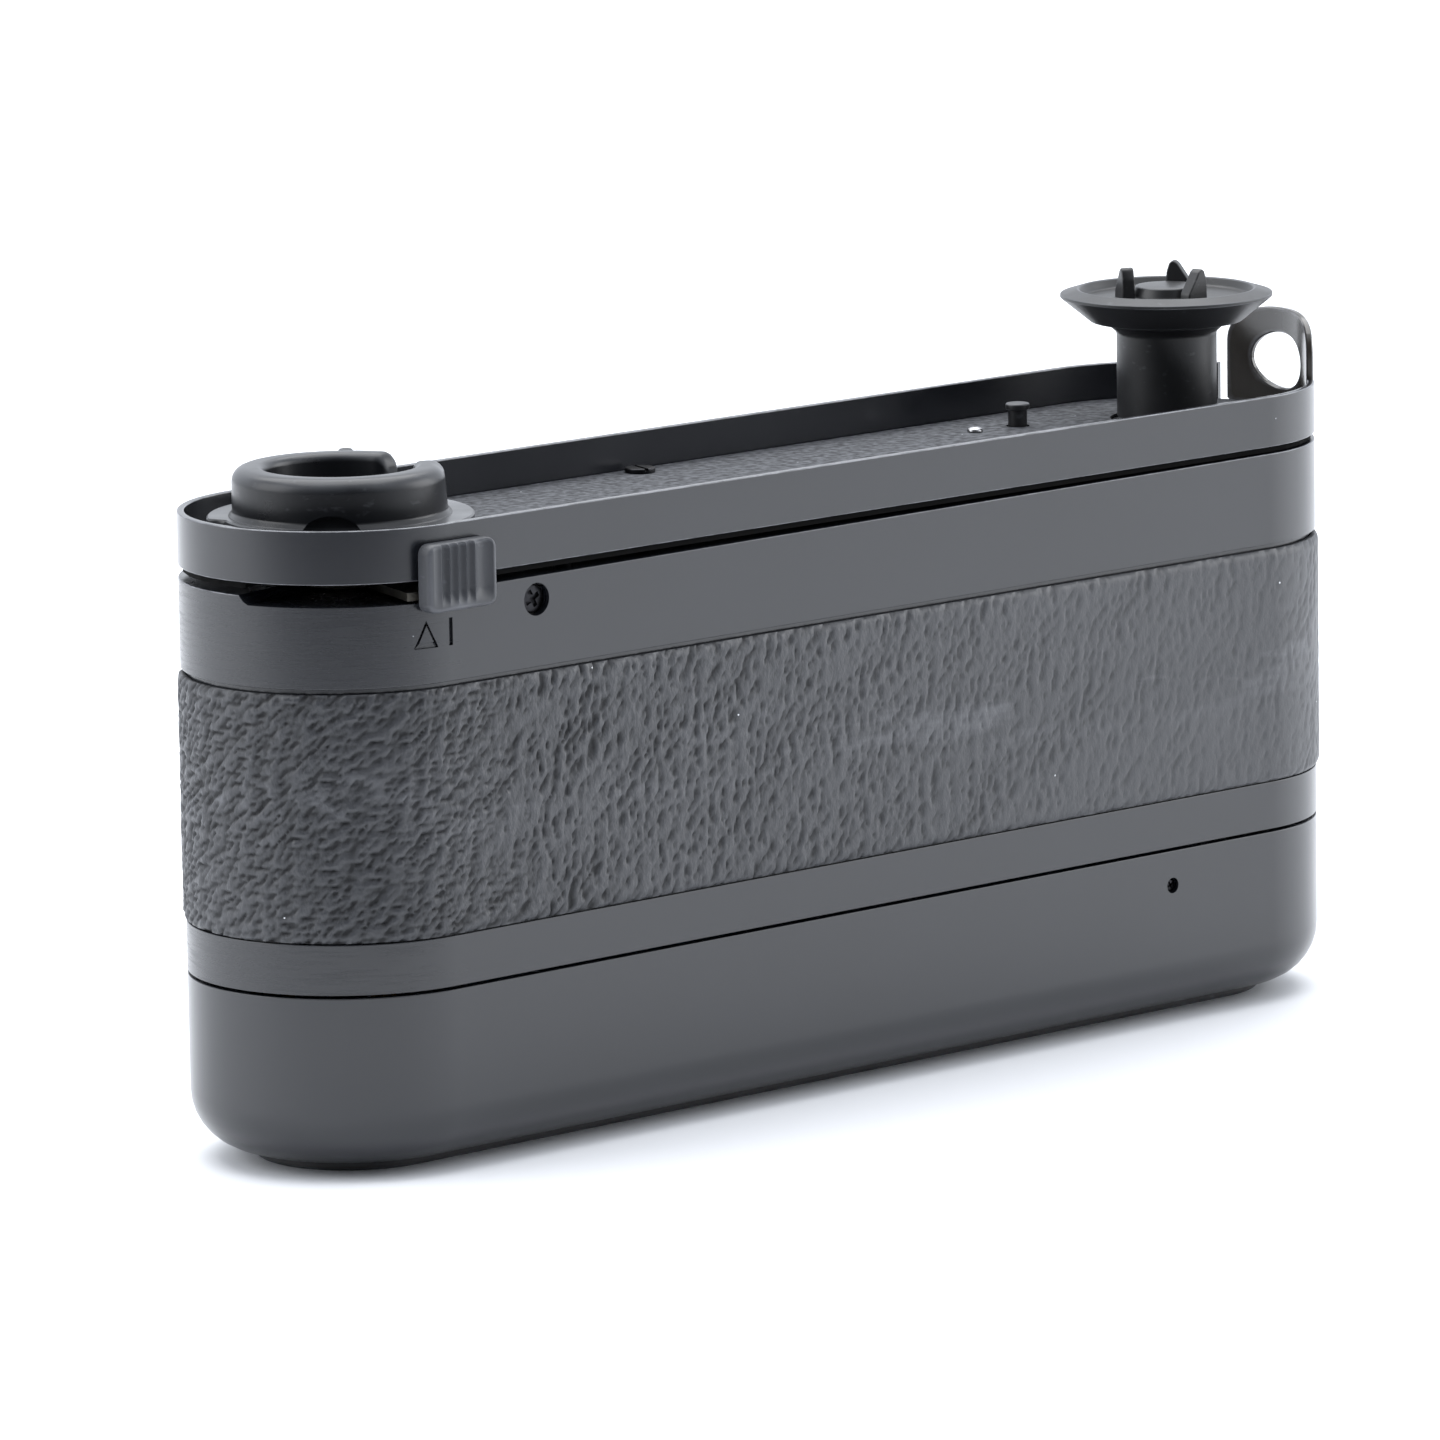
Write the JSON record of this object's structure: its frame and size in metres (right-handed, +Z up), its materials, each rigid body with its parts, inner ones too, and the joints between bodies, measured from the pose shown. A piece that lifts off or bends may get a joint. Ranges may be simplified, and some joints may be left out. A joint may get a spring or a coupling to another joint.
{
  "type": "camera motor winder",
  "caption": "Slim motor winder that fixes under a small rangefinder camera, with battery case, leather band, camera tray, lock lever and drive coupling.",
  "frame": {"origin": "middle of the foot plate's underside, on the table", "axes": "+X along the winder towards the drive coupling, +Y its depth away from the lever knob, +Z up towards the camera"},
  "size_m": [0.1386, 0.0325, 0.073],
  "materials": {
    "black_paint": "satin black stove enamel over thin metal",
    "leather": "matte black pebble-grained covering",
    "grey_plastic": "matte mid-grey moulding, lightly worn",
    "black_moulding": "soft matte black moulding",
    "dark_plastic": "matte black moulding",
    "flock": "black flocked sheet",
    "steel": "turned and ground steel",
    "motor_can": "plated motor can",
    "brass": "machined brass",
    "cell_jacket": "printed sleeve on a dry cell",
    "board": "coated circuit board",
    "wire_sleeve": "insulated wire"
  },
  "bodies": {
    "winder": {"housing": "black_paint", "leather_band": "leather", "side_screw": "steel", "chassis_plate": "dark_plastic", "gear_plate": "dark_plastic", "motor": "motor_can", "lead_red": "wire_sleeve", "lead_black": "wire_sleeve", "circuit_board": "board", "supply_blade_front": "brass", "supply_blade_rear": "brass", "tray": "black_paint", "tray_liner": "flock", "tray_spacer": "dark_plastic", "hook_tab": "black_paint", "tray_screw_1": "steel", "tray_screw_2": "steel", "tray_screw_3": "steel", "tray_rivet": "steel", "locating_stud": "black_paint", "trip_spring": "steel", "lock_bush": "brass", "main_switch": "dark_plastic", "detent_spring": "steel", "detent_post": "brass", "drive_bush": "brass"},
    "camera_lock": {"lock_ring": "black_moulding", "lock_cap_screw": "steel", "lock_shaft": "steel", "switch_cam": "dark_plastic", "lock_clip": "steel", "lock_lever": "steel", "lever_knob": "grey_plastic"},
    "drive": {"coupling_head": "black_moulding", "drive_shaft": "steel", "drive_gear": "brass"},
    "reduction_1": {"reduction_gear_1": "brass"},
    "reduction_2": {"reduction_gear_2": "dark_plastic"},
    "motor_rotor": {"motor_shaft": "steel", "motor_pinion": "brass"},
    "trip": {"trip_pin": "dark_plastic"},
    "battery_case": {"battery_case": "black_paint", "foot_plate": "black_moulding", "cell_1": "cell_jacket", "cell_2": "cell_jacket", "cell_3": "cell_jacket", "cell_4": "cell_jacket", "right_contact": "brass", "left_contact_front": "brass", "left_contact_rear": "brass", "middle_contact_front": "brass", "middle_contact_rear": "brass", "contact_spring_1": "steel", "contact_spring_2": "steel", "tripod_bush": "steel", "grub_screw": "steel"},
    "case_lock": {"case_lock_screw": "steel", "case_lock_clip": "steel"}
  },
  "joints": [
    {"name": "lock_turn", "type": "hinge", "parent": "winder", "child": "camera_lock", "pos_m": [-0.05375, 0, 0.056], "axis": [0, 0, -1], "range_deg": [0, 58]},
    {"name": "drive_turn", "type": "hinge", "parent": "winder", "child": "drive", "pos_m": [0.0545, 0, 0.06], "axis": [0, 0, 1], "continuous": true},
    {"name": "reduction_1_turn", "type": "hinge", "parent": "winder", "child": "reduction_1", "pos_m": [0.038, 0, 0.048], "axis": [0, 0, 1], "continuous": true},
    {"name": "reduction_2_turn", "type": "hinge", "parent": "winder", "child": "reduction_2", "pos_m": [0.0225, 0, 0.045], "axis": [0, 0, 1], "continuous": true},
    {"name": "motor_turn", "type": "hinge", "parent": "winder", "child": "motor_rotor", "pos_m": [0.0085, 0, 0.044], "axis": [0, 0, 1], "continuous": true},
    {"name": "trip_press", "type": "slide", "parent": "winder", "child": "trip", "axis": [0, 0, -1], "range_m": [0, 0.0009], "stiffness_N_per_m": 200, "springref_m": -0.001, "deforming": ["trip_spring"]},
    {"name": "case_release", "type": "slide", "parent": "winder", "child": "battery_case", "axis": [0, 0, -1], "range_m": [0, 0.025]},
    {"name": "case_lock_turn", "type": "hinge", "parent": "battery_case", "child": "case_lock", "pos_m": [-0.0585, 0, 0.001], "axis": [0, 0, 1], "range_deg": [0, 90]}
  ],
  "couplings": [
    {"joint": "reduction_1_turn", "follows": "drive_turn", "ratio": -2.6667},
    {"joint": "reduction_2_turn", "follows": "drive_turn", "ratio": 6.5185},
    {"joint": "motor_turn", "follows": "drive_turn", "ratio": -16.296}
  ]
}
